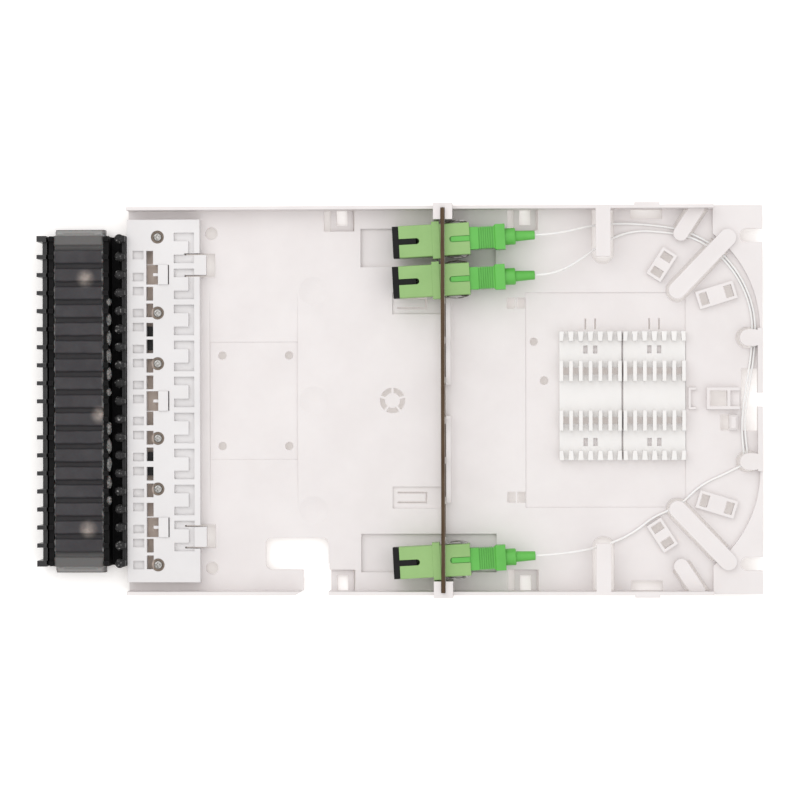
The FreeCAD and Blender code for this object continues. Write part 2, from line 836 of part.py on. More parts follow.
def tie_slots():
    left = x_seal + left_slot_start
    right = x_seal + right_slot_start
    channel = x_seal + channel_start
    floor = z_tie - tie_slot_depth
    bottom = z_floor
    top = z_tie + overcut
    cuts = []
    reach = tie_bar / 2 + tie_slot
    for k in range(-1, cable_count + 1):
        y = (k + 0.5 - cable_count / 2) * cable_pitch
        in_left_row = k % 2 == 1
        start = left if in_left_row else right
        length = left_slot_length if in_left_row else right_slot_length
        sides = [side for side in (-1, 1) if (k > 0 if side < 0 else k < cable_count - 1)]
        if len(sides) == 2:
            cuts.append(box(start, start + length, y - reach, y + reach, floor, z_tie - tie_bar_depth))
        for side in sides:
            near = y + side * tie_bar / 2
            far = near + side * tie_slot
            low, high = min(near, far), max(near, far)
            cuts.append(box(start, start + length, low, high, floor, top))
            if in_left_row:
                cuts.append(box(channel, channel + channel_width, low, high, bottom, top))
        land = cable_pitch - reach
        if in_left_row and k > 0:
            cuts.append(box(right + right_post_length, right + right_slot_length, y - land - fit, y + land + fit,
                            floor, top))
        elif not in_left_row and k < cable_count:
            half = land - channel_bar / 2
            for side in (-1, 1):
                middle = y + side * (channel_bar + half) / 2
                cuts.append(box(channel, channel + channel_width, middle - half / 2, middle + half / 2, bottom, top))
    return cuts


def tie_hooks():
    window_x = x_seal + channel_start
    hook_x = window_x + hook_window_length
    cuts = []
    blocks = []
    for y in (-hook_y, 0, hook_y):
        half = hook_window_width / 2
        cuts.append(box(window_x, hook_x, y + channel_bar / 2, y + half, z_floor, z_tie + overcut))
        cuts.append(box(window_x, hook_x, y - half, y - channel_bar / 2, z_floor, z_tie + overcut))
        blocks.append(box(hook_x, hook_x + hook_length, y - half, y + half, z_tie - tie_skin, z_tie + hook_rise))
        cuts.append(box(hook_x + hook_length, hook_x + hook_length + hook_slit, y - half, y + half,
                        z_floor, z_tie + overcut))
    return blocks, cuts


def tie_latch_tongues():
    edge = x_seal + tie_width
    low = tie_latch_y - tie_latch_width / 2
    high = tie_latch_y + tie_latch_width / 2
    tongue = box(edge - tie_rim, edge + tie_latch_reach, low, high, z_tie - tie_latch_thickness, z_tie)
    leg_x = edge + 2 * fit
    barb_top = z_under - fit
    barb_low = barb_top - tie_latch_barb
    leg = box(leg_x, leg_x + tie_latch_leg, low, high, barb_low, z_tie)
    loop = [V(leg_x, low, barb_top), V(leg_x - tie_latch_barb, low, barb_top), V(leg_x, low, barb_low)]
    barb = Part.Face(Part.makePolygon(loop + loop[:1])).extrude(V(0, tie_latch_width, 0))
    slits = []
    for y in (low - tie_latch_slit, high):
        slits += both(box(edge - tie_latch_root, edge + overcut, y, y + tie_latch_slit,
                          z_floor - overcut, z_tie + overcut))
    return both(joined([tongue, leg, barb])), slits


def tie_plate():
    half = half_tie
    body = box(x_seal, x_seal + tie_width, -half, half, z_floor, z_tie)
    blocks, hook_cuts = tie_hooks()
    latches, latch_slits = tie_latch_tongues()
    hollow = box(x_seal + tie_rim, x_seal + tie_width - tie_rim, tie_rim - half, half - tie_rim,
                 z_floor - overcut, z_tie - tie_skin)
    notch_half = seal_tongue_width / 2 + soft_gap
    notch = box(x_seal - overcut, x_seal + tie_rim + overcut, seal_tongue_y - notch_half,
                seal_tongue_y + notch_half, z_floor - overcut, z_tie - tie_skin)
    cuts = [hollow] + both(notch) + tie_slots() + hook_cuts + latch_slits
    for x, y in screw_places():
        cuts.append(rod(x, y, screw_shank_radius + screw_shank_margin, z_floor, z_tie + overcut))
        cuts.append(rod(x, y, screw_recess_radius, z_tie - screw_recess_depth, z_tie + overcut))
    return joined([body] + blocks + latches).cut(cuts)


def tie_screws():
    seat = z_tie - screw_recess_depth
    screws = []
    for x, y in screw_places():
        head = rod(x, y, screw_head_radius, seat, seat + screw_head_height)
        rim = [e for e in head.Edges if e.BoundBox.ZMin > seat + screw_head_height / 2]
        head = head.makeFillet(screw_head_height / 2, rim)
        shank = rod(x, y, screw_shank_radius, seat - screw_shank_length, seat)
        crown = V(x, y, seat + screw_head_height)
        drive = [centred(screw_slot_width, screw_slot_length, 2 * screw_slot_depth, crown),
                 centred(screw_slot_length, screw_slot_width, 2 * screw_slot_depth, crown)]
        screws.append(head.fuse(shank).removeSplitter().cut(drive))
    return Part.makeCompound(screws)


# Adapter plate

def adapter_y(place):
    return ((adapter_places + 1) / 2 - place) * adapter_pitch


def adapter_plate():
    end = half_width - plate_end_inset
    plate = box(x_plate - plate_thickness / 2, x_plate + plate_thickness / 2, -end, end,
                z_floor, z_floor + plate_height)
    cuts = []
    for place in range(1, adapter_places + 1):
        cuts.append(centred(plate_thickness + 2 * overcut, cutout_width, cutout_height,
                            V(x_plate, adapter_y(place), z_axis)))
    return plate.cut(cuts)


def placed(shape, place):
    shape.rotate(V(0, 0, 0), V(0, 0, 1), adapter_skew)
    shape.translate(V(x_plate, adapter_y(place), z_axis))
    return shape


# SC adapter, drawn about its own axis

skew_lift = math.sin(math.radians(adapter_skew))
adapter_middle = (adapter_plug_side - adapter_cap_side) / 2
flange_face = -(plate_thickness / 2 + flange_width / 2 * skew_lift + seat_gap)


def adapter_body():
    length = adapter_cap_side + adapter_plug_side
    body = centred(length, adapter_width, adapter_height, V(adapter_middle, 0, 0))
    along = [e for e in body.Edges if abs(e.tangentAt(e.FirstParameter).x) > 0.5]
    body = body.makeFillet(adapter_edge, along)
    flange = centred(flange_thickness, flange_width, flange_height, V(flange_face - flange_thickness / 2, 0, 0))
    port = centred(length + 2 * overcut, port_width, port_height, V(adapter_middle, 0, 0))
    slots = []
    for mouth, inward in ((-adapter_cap_side, 1), (adapter_plug_side, -1)):
        stop = mouth + inward * (key_slot_length - key_slot_width / 2)
        slots.append(stadium((mouth - inward * overcut, 0), (stop, 0), key_slot_width / 2, 0, adapter_height))
    return joined([body, flange]).cut([port] + slots)


def adapter_holder():
    wall = centred(holder_wall, port_width - 2 * seat_gap, port_height - 2 * seat_gap, V(adapter_middle, 0, 0))
    half_tube = holder_tube_length / 2
    tube = axial(holder_tube_radius, adapter_middle - half_tube, adapter_middle + half_tube)
    reach = holder_wall + 2 * latch_arm_reach
    arm_y = port_width / 2 - plug_clearance - grip_wall / 2
    arm = centred(reach, latch_arm_thickness, latch_arm_height, V(adapter_middle, arm_y, 0))
    bore = axial(sleeve_outer + seat_gap, adapter_middle - half_tube - overcut, adapter_middle + half_tube + overcut)
    return joined([wall, tube] + both(arm)).cut(bore)


def split_sleeve():
    half = sleeve_length / 2
    tube = axial(sleeve_outer, adapter_middle - half, adapter_middle + half)
    bore = axial(sleeve_inner, adapter_middle - half - overcut, adapter_middle + half + overcut)
    slit = centred(sleeve_length + overcut, sleeve_slit, 2 * sleeve_outer, V(adapter_middle, 0, -sleeve_outer))
    return tube.cut([bore, slit])


def spring_clip():
    inner = adapter_width / 2 + seat_gap
    outer = inner + clip_thickness
    start = plate_thickness / 2 + (outer + clip_bow) * skew_lift + fit
    stop = adapter_plug_side - clip_end_inset
    middle = (start + stop) / 2
    low = -clip_height / 2
    inside = Part.Arc(V(start, inner, low), V(middle, inner + clip_bow, low), V(stop, inner, low)).toShape()
    outside = Part.Arc(V(stop, outer, low), V(middle, outer + clip_bow, low), V(start, outer, low)).toShape()
    ends = [Part.makeLine(V(stop, inner, low), V(stop, outer, low)),
            Part.makeLine(V(start, outer, low), V(start, inner, low))]
    leaf = Part.Face(Part.Wire([inside, ends[0], outside, ends[1]])).extrude(V(0, 0, clip_height))
    saddle_z = -adapter_height / 2 - seat_gap
    upright = box(stop - clip_saddle, stop, inner, outer, saddle_z - clip_thickness, low + clip_height)
    strap = box(stop - clip_saddle, stop, -outer, outer, saddle_z - clip_thickness, saddle_z)
    return joined(both(leaf) + both(upright) + [strap])


def dust_cap():
    face = -adapter_cap_side - fit
    flange = centred(cap_flange_thickness, cap_flange_width, cap_flange_height,
                     V(face - cap_flange_thickness / 2, 0, 0))
    rim = [e for e in flange.Edges if abs(e.tangentAt(e.FirstParameter).x) > 0.5]
    flange = flange.makeFillet(adapter_edge, rim)
    plug_width = port_width - 2 * plug_clearance
    plug_height = port_height - 2 * plug_clearance
    plug = centred(cap_plug_length, plug_width, plug_height, V(face + cap_plug_length / 2, 0, 0))
    bore = centred(cap_plug_length, plug_width - 2 * cap_wall, plug_height - 2 * cap_wall,
                   V(face + cap_plug_length / 2 + overcut, 0, 0))
    key_width = key_slot_width - 2 * fit
    key = box(face, face + cap_key_length, -key_width / 2, key_width / 2, plug_height / 2 - seat_gap,
              adapter_height / 2 - fit)
    key = key.common(box(face, face + cap_plug_length, -key_width, key_width, 0, adapter_height))
    return joined([flange, plug.cut(bore), key])


# SC connector, drawn about the adapter's axis

plug_width = port_width - 2 * plug_clearance
plug_height = port_height - 2 * plug_clearance
bore_width = plug_width - 2 * grip_wall
bore_height = plug_height - 2 * grip_wall
collar_front = grip_flare_from + grip_travel + collar_clearance


def grip_grooves():
    cuts = []
    for k in range(grip_groove_count):
        x = grip_groove_from + k * grip_groove_pitch
        ring = centred(grip_groove_width, plug_width + overcut, plug_height + overcut, V(x, 0, 0))
        core = centred(grip_groove_width, plug_width - 2 * grip_groove_depth, plug_height - 2 * grip_groove_depth,
                       V(x, 0, 0))
        cuts.append(ring.cut(core))
    return cuts


def connector_grip():
    length = grip_rear - grip_front
    body = centred(length, plug_width, plug_height, V(grip_front + length / 2, 0, 0))
    flare_length = grip_rear - grip_flare_from
    flare = centred(flare_length, grip_flare_width, grip_flare_height, V(grip_flare_from + flare_length / 2, 0, 0))
    front = [e for e in flare.Edges if e.BoundBox.XMax < grip_flare_from + seat_gap]
    flare = flare.makeChamfer((grip_flare_height - plug_height) / 2, front)
    key_width = key_slot_width - 2 * fit
    key_end = adapter_plug_side - fit
    key = box(key_end - grip_key_length, key_end, -key_width / 2, key_width / 2, plug_height / 2 - seat_gap,
              adapter_height / 2 - fit)
    bore = centred(length + 2 * overcut, bore_width, bore_height, V(grip_front + length / 2, 0, 0))
    rear_bore = axial(collar_radius + collar_clearance, grip_flare_from, grip_rear + overcut)
    window = centred(2 * grip_window_length, plug_width + overcut, latch_arm_height + 4 * plug_clearance,
                     V(grip_front, 0, 0))
    return joined([body, flare, key]).cut([bore, rear_bore, window] + grip_grooves())


def ferrule_tip():
    return adapter_middle + seat_gap


def connector_body():
    front = adapter_middle + holder_tube_length / 2 + fit
    frame = centred(collar_front - front, bore_width - 2 * plug_clearance, bore_height - 2 * plug_clearance,
                    V((front + collar_front) / 2, 0, 0))
    collar = axial(collar_radius, collar_front, collar_rear)
    rim = [e for e in collar.Edges if e.BoundBox.XMin > collar_rear - seat_gap]
    collar = collar.makeFillet(collar_edge, rim)
    bore = axial(ferrule_radius + seat_gap, front - overcut, front + ferrule_depth)
    sleeve_room = axial(sleeve_outer + fit, front - overcut, adapter_middle + sleeve_length / 2 + fit)
    return joined([frame, collar]).cut([bore, sleeve_room])


def ferrule():
    front = adapter_middle + holder_tube_length / 2 + fit
    tip = ferrule_tip()
    rod_shape = axial(ferrule_radius, tip, front + ferrule_depth)
    nose = [e for e in rod_shape.Edges if e.BoundBox.XMax < tip + seat_gap]
    return rod_shape.makeChamfer(fit, nose)


def connector_boot():
    boot = Part.makeCone(boot_radius_front, boot_radius_rear, boot_length, V(collar_rear, 0, 0), V(1, 0, 0))
    rim = [e for e in boot.Edges if e.BoundBox.XMin > collar_rear + boot_length - seat_gap]
    return boot.makeFillet(boot_edge, rim)


# Pigtails: points chosen by eye, from the boot to the slot under the lower round-ended tab.
# Each point ends with its height above the floor.
# Down to the floor: share of the way to the race, and distance from the wall.
# Round the race: distance inside its wall, and angle.
# Along the open end: distance from the end, and place across the tray.

descent_routes = (
    [(0.15, 10.6, 6.4), (0.30, 8.6, 3.6), (0.46, 7.4, 1.7), (0.635, 7.1, 1.0), (0.81, 7.6, 0.8)],
    [(0.14, 25.5, 6.6), (0.285, 21.2, 3.9), (0.43, 16.2, 1.9), (0.585, 12.0, 1.0), (0.776, 9.9, 0.8)],
    [(0.166, 16.9, 6.2), (0.341, 17.9, 3.6), (0.521, 19.6, 1.8), (0.697, 22.4, 1.0), (0.853, 26.2, 0.8)],
)
race_routes = (
    [(5.6, 75.2, 0.7), (4.7, 64.8, 0.7), (3.9, 55.1, 0.6), (3.4, 46.1, 0.6), (3.0, 36.6, 0.6), (2.6, 26.8, 0.6),
     (2.1, 16.9, 0.6)],
    [(7.9, 75.5, 0.7), (6.3, 64.7, 0.7), (5.3, 55.2, 0.6), (4.7, 45.9, 0.6), (4.2, 36.4, 0.6), (3.8, 26.6, 0.6),
     (3.3, 16.7, 0.6)],
    [(28.9, 75.0, 0.7), (28.6, 54.0, 0.7), (27.0, 36.3, 0.6), (25.2, 20.4, 0.6), (20.8, 8.6, 0.6)],
)
end_routes = (
    [(3.1, 34.8, 0.6), (2.7, 27.0, 0.6), (3.2, 19.2, 0.6), (4.2, 11.6, 0.6), (5.5, 4.2, 0.6), (6.6, -3.0, 0.6),
     (7.1, -9.6, 0.6), (6.8, -15.6, 0.65), (6.1, -21.0, 0.6), (5.4, -25.8, -0.6)],
    [(4.3, 34.6, 0.6), (3.9, 27.1, 0.6), (4.4, 19.4, 0.6), (5.4, 11.8, 0.6), (6.7, 4.4, 0.6), (7.8, -2.9, 0.6),
     (8.3, -9.7, 0.6), (8.1, -15.9, 0.65), (7.5, -21.4, 0.6), (6.9, -26.2, -0.6)],
    [(15.3, -30.2, 0.6), (10.9, -27.9, 0.6), (8.0, -26.7, 0.6)],
)
pigtail_lead = 6.0


def pigtail_points(number, place):
    skew = math.radians(adapter_skew)
    ahead = V(math.cos(skew), math.sin(skew), 0)
    side = 1 if adapter_y(place) > 0 else -1
    exit_point = V(x_plate, adapter_y(place), z_axis) + ahead * (collar_rear + boot_length)
    lead_end = exit_point + ahead * pigtail_lead
    race = []
    for gap, angle, rise in race_routes[number - 1]:
        x, y = race_place(gap, angle)
        race.append(V(x, side * y, z_floor + rise))
    way = race[0].x - lead_end.x
    descent = [V(lead_end.x + share * way, side * (half_width - inset), z_floor + rise)
               for share, inset, rise in descent_routes[number - 1]]
    end = [V(x_end - back, across, z_floor + rise) for back, across, rise in end_routes[number - 1]]
    return [exit_point, lead_end] + descent + race + end


def cord_path(points):
    edges = []
    radii = []
    at = points[0]
    for before, corner, after in zip(points, points[1:], points[2:]):
        inward = (corner - before).normalize()
        outward = (after - corner).normalize()
        half_turn = inward.getAngle(outward) / 2
        reach = 0.45 * min(before.distanceToPoint(corner), corner.distanceToPoint(after))
        radius = reach / math.tan(half_turn)
        bisector = (outward - inward).normalize()
        mid = corner + bisector * (radius / math.cos(half_turn) - radius)
        start = corner - inward * reach
        stop = corner + outward * reach
        edges.append(Part.LineSegment(at, start).toShape())
        edges.append(Part.Arc(start, mid, stop).toShape())
        radii.append(radius)
        at = stop
    edges.append(Part.LineSegment(at, points[-1]).toShape())
    return Part.Wire(edges), radii


def pigtail(number, place):
    points = pigtail_points(number, place)
    path, radii = cord_path(points)
    ahead = (points[1] - points[0]).normalize()
    ring = Part.Wire(Part.makeCircle(fibre_diameter / 2, points[0], ahead))
    tube = path.makePipeShell([ring], True, False)
    section = math.pi * (fibre_diameter / 2) ** 2
    print("pigtail", number, "length", round(path.Length, 1), "radii", [round(r, 1) for r in radii],
          "volume share", round(tube.Volume / (section * path.Length), 4))
    return tube


# Splice holders

def holder_start(k):
    return x_end - holder_from_end - (holder_count - k) * holder_width - (holder_count - 1 - k) * holder_gap


def holder_middle(k):
    return holder_start(k) + holder_width / 2


def window_offset():
    return holder_length / 2 - inner_comb_inset - inner_comb_depth / 2


def splice_holder(k):
    x0 = holder_start(k)
    x1 = x0 + holder_width
    half = holder_length / 2
    base_top = z_splice + holder_base
    pieces = [box(x0, x1, -half, half, z_splice, base_top)]
    cuts = []
    outer_row = box(x0, x1, half - outer_comb_depth, half, z_splice, base_top + outer_comb_rise)
    inner_low = half - inner_comb_inset - inner_comb_depth
    inner_row = box(x0, x1, inner_low, inner_low + inner_comb_depth, z_splice, base_top + inner_comb_rise)
    pieces += both(outer_row) + both(inner_row)
    first = holder_middle(k) - holder_slot_pitch * (holder_slots - 1) / 2
    wide = holder_slot_width / 2
    narrow = outer_slot_narrow / 2
    top = base_top + inner_comb_rise + overcut
    for slot in range(holder_slots):
        x = first + slot * holder_slot_pitch
        taper = [(x - wide, half - outer_comb_depth - fit), (x + wide, half - outer_comb_depth - fit),
                 (x + narrow, half + fit), (x - narrow, half + fit)]
        groove = box(x - wide, x + wide, inner_low - fit, inner_low + inner_comb_depth + fit, base_top, top)
        window = box(x - wide, x + wide, window_offset() - splice_window_length / 2,
                     window_offset() + splice_window_length / 2, z_splice - overcut, top)
        cuts += both(prism(taper, base_top, top)) + both(groove) + both(window)
    for offset in (-holder_slot_pitch / 2, holder_slot_pitch / 2):
        x = holder_middle(k) + offset
        eye = box(x - holder_eye_width / 2, x + holder_eye_width / 2, half - holder_eye_inset - holder_eye_length / 2,
                  half - holder_eye_inset + holder_eye_length / 2, z_splice - overcut, top)
        cuts += both(eye)
    holder = joined(pieces).cut(cuts)
    holder.translate(V(0, holder_middle_y, 0))
    return holder


def all_parts():
    parts = {
        "base_tray": base_tray(),
        "seal_channel": seal_channel(),
        "outer_seal_comb": outer_comb(),
        "inner_seal_comb": inner_comb(),
        "gel_block": gel_block(),
        "tie_plate": tie_plate(),
        "tie_plate_screws": tie_screws(),
        "adapter_plate": adapter_plate(),
    }
    for number, place in enumerate(adapter_used, start=1):
        parts["adapter_housing_%d" % number] = placed(adapter_body(), place)
        parts["adapter_latch_holder_%d" % number] = placed(adapter_holder(), place)
        parts["split_sleeve_%d" % number] = placed(split_sleeve(), place)
        parts["adapter_spring_clip_%d" % number] = placed(spring_clip(), place)
        parts["dust_cap_%d" % number] = placed(dust_cap(), place)
        parts["connector_grip_%d" % number] = placed(connector_grip(), place)
        parts["connector_body_%d" % number] = placed(connector_body(), place)
        parts["ferrule_%d" % number] = placed(ferrule(), place)
        parts["connector_boot_%d" % number] = placed(connector_boot(), place)
        parts["pigtail_%d" % number] = pigtail(number, place)
    for k in range(holder_count):
        parts["splice_holder_%d" % (k + 1)] = splice_holder(k)
    return parts


os.makedirs("parts", exist_ok=True)
for name, shape in all_parts().items():
    shape.exportStep("parts/%s.step" % name)
    print(name, "solids", len(shape.Solids), "valid", shape.isValid(), "volume", round(shape.Volume, 1))
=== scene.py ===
import json
import math

import bmesh
import bpy
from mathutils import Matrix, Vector, noise


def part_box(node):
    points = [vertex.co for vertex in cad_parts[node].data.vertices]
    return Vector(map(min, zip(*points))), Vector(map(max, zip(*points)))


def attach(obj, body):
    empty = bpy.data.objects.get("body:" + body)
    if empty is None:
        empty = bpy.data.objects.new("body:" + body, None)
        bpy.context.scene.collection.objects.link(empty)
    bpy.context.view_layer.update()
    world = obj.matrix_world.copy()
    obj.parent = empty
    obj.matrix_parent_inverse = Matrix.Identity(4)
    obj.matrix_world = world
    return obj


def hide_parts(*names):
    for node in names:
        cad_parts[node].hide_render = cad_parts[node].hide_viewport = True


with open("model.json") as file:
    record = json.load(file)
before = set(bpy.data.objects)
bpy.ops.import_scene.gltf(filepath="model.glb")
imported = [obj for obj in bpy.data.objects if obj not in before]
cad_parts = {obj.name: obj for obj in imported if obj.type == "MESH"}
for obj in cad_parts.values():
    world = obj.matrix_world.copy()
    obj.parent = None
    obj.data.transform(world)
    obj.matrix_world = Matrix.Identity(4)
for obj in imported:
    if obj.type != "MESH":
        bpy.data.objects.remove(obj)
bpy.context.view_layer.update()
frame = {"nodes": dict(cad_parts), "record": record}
nodes = frame["nodes"]

MM = 0.001
BODY = "closure"

# Camera: above the tray, over the splice side, turned a little back towards the seal
SENSOR = 36.0
FIELD_OF_VIEW = math.radians(14.34)
CAMERA_PLACE = (50.45 * MM, 0.05 * MM, 1300 * MM)
CAMERA_TILT = math.radians(2.23)
CAMERA_ROLL = math.radians(-0.14)
CLIP_START = 0.01

# Stage: half the floor's side, and each light's place, size and power
FLOOR_REACH = 3.0
WORLD_STRENGTH = 0.79
LIGHTS = {
    "key": ((-0.4, 0.5, 0.95), (1.2, 1.2), 4.6),
    "fill": ((0.4, -0.3, 1.0), (1.3, 1.3), 3.2),
}

# Pigtails, from the boot to the slot under the lower round-ended tab, in mm
FIBRE_DIAMETER = 0.9
FIBRE_ROUTES = (
    [(55.05, 66.75, 13.45), (61.0, 67.1, 13.4), (68.2, 68.2, 11.4), (75.4, 70.2, 8.6),
     (83.0, 71.4, 6.7), (91.4, 71.7, 6.0), (99.7, 71.2, 5.8), (108.8, 70.2, 5.7),
     (116.4, 68.4, 5.7), (123.2, 65.3, 5.6), (129.0, 61.3, 5.6), (134.2, 55.9, 5.6),
     (138.6, 49.6, 5.6), (142.0, 42.4, 5.6), (144.0, 34.8, 5.6), (144.4, 27.0, 5.6),
     (143.9, 19.2, 5.6), (142.9, 11.6, 5.6), (141.6, 4.2, 5.6), (140.5, -3.0, 5.6),
     (140.0, -9.6, 5.6), (140.3, -15.6, 5.65), (141.0, -21.0, 5.6), (141.7, -25.8, 4.4)],
    [(55.05, 50.55, 13.45), (61.0, 50.9, 13.4), (67.6, 53.3, 11.6), (74.4, 57.6, 8.9),
     (81.2, 62.6, 6.9), (88.5, 66.8, 6.0), (97.5, 68.9, 5.8), (108.0, 68.0, 5.7),
     (115.8, 66.9, 5.7), (122.4, 64.2, 5.6), (128.2, 60.2, 5.6), (133.3, 55.1, 5.6),
     (137.6, 48.9, 5.6), (140.9, 41.9, 5.6), (142.8, 34.6, 5.6), (143.2, 27.1, 5.6),
     (142.7, 19.4, 5.6), (141.7, 11.8, 5.6), (140.4, 4.4, 5.6), (139.3, -2.9, 5.6),
     (138.8, -9.7, 5.6), (139.0, -15.9, 5.65), (139.6, -21.4, 5.6), (140.2, -26.2, 4.4)],
    [(55.05, -62.85, 13.45), (61.0, -62.5, 13.4), (68.0, -61.9, 11.2), (75.3, -60.9, 8.6),
     (82.8, -59.2, 6.8), (90.2, -56.4, 6.0), (96.7, -52.6, 5.8), (102.9, -47.6, 5.7),
     (109.4, -44.9, 5.7), (115.0, -41.6, 5.6), (119.5, -37.0, 5.6), (125.0, -33.1, 5.6),
     (131.8, -30.2, 5.6), (136.2, -27.9, 5.6), (139.1, -26.7, 5.6)],
)

# Gel seal's shape, in mm: ribs in line with the comb teeth, grooves between them, rolled sides
CABLE_COUNT = 18
END_TOOTH_WIDTH = 2.4
GEL_STEP_X, GEL_STEP_Y = 0.5, 0.28
TOP_GAP = 0.08
RIB_HALF_WIDTH = 2.15
RIB_SLOPE = 0.85
RIB_RISE = 1.2
SIDE_ROLL = 0.8
RIB_DROP, GROOVE_DROP = 0.45, 0.35
# Its unevenness: how fast each noise runs, which slice of it is taken, and how far it moves things
WAVER_RATE, WAVER_SLICE = 0.22, 1.7
RIPPLE_RATE, RIPPLE_SLICE = 0.9, 4.1
RIB_WAVER, GROOVE_WAVER, GROOVE_RIPPLE = 0.18, 0.12, 0.07
# Its end lugs: longer than the solid's by the swell, below the ribs, with a knob near each side
LUG_SWELL = 0.8
LUG_DROP, LUG_BLEND, LUG_RIPPLE = 4.1, 0.5, 0.12
NOSE_START, NOSE_LENGTH, NOSE_DROP = 1.5, 1.3, 1.6
KNOB_FROM_SIDE, KNOB_HALF_WIDTH, KNOB_SLOPE = 2.0, 1.9, 1.4
KNOB_RISE, KNOB_REACH = 1.1, 1.6
LUG_SIDE_ROLL, LUG_SIDE_DROP = 1.1, 1.4
# Its tones, as painted light and shade: from where to where they change along Z, Y and X, and
# where glows of light coming up through it are painted
# Painted shade in the grooves below the crown; painted light on the lugs, on the end ribs and
# along the sides
GROOVE_Z, CROWN_Z = 13.5, 14.3
LUG_TOP_Z, LUG_Z, LUG_FOOT_Z = 12.4, 10.8, 8.2
END_RIB_Y = (60.5, 64.0)
GEL_SIDES_X = (-140.3, -120.3)
GEL_SIDE_HIGHLIGHT = 0.7
GEL_GLOWS = ((-127.5, 49.9), (-121.6, -5.6), (-126.5, -52.0))
GLOW_Z, GLOW_RADIUS = 14, 4.6

# Beads of gel on the inner wall, in mm: the rows between the teeth, with the width of each bead
GEL_BEADS = {4: 1.4, 5: 2.1, 6: 2.5, 7: 2.6, 8: 2.3, 9: 1.3, 11: 2.4, 12: 2.6, 13: 2.5, 14: 2.3,
             15: 1.5}
BEAD_FROM_GEL, BEAD_DROP = 2.3, 1.6
BEAD_STRETCH, BEAD_HEIGHT = 1.15, 0.8
BEAD_LUMPS, LUMP_RATE, LUMP_STEP = 0.22, 1.4, 3.1

# Posts of the inner comb, in mm: up to this X they carry painted glints of the gel that wets them
WET_GLINT_POSTS = -112.8
# Tie plate screws, in mm: the seat of each in its recess, and the painted shade that darkens the
# recess round each
SCREW_SEATS = [(-98.4, side * y, 9.7) for y in (15.2, 35.8, 66.7) for side in (-1, 1)]
RECESS_SHADE_REACH = (2.55, 2.85)
RECESS_SHADE = (0.30, 0.235, 0.185)
# The tray under the tie plate, in mm: up to this X and Y and from this Z, painted browner than
# elsewhere as shade
UNDER_TIE_SHADE_BOX = (-88.0, 71.5, 4.9)
UNDER_TIE_SHADE = (0.74, 0.62, 0.54)


# Node helpers

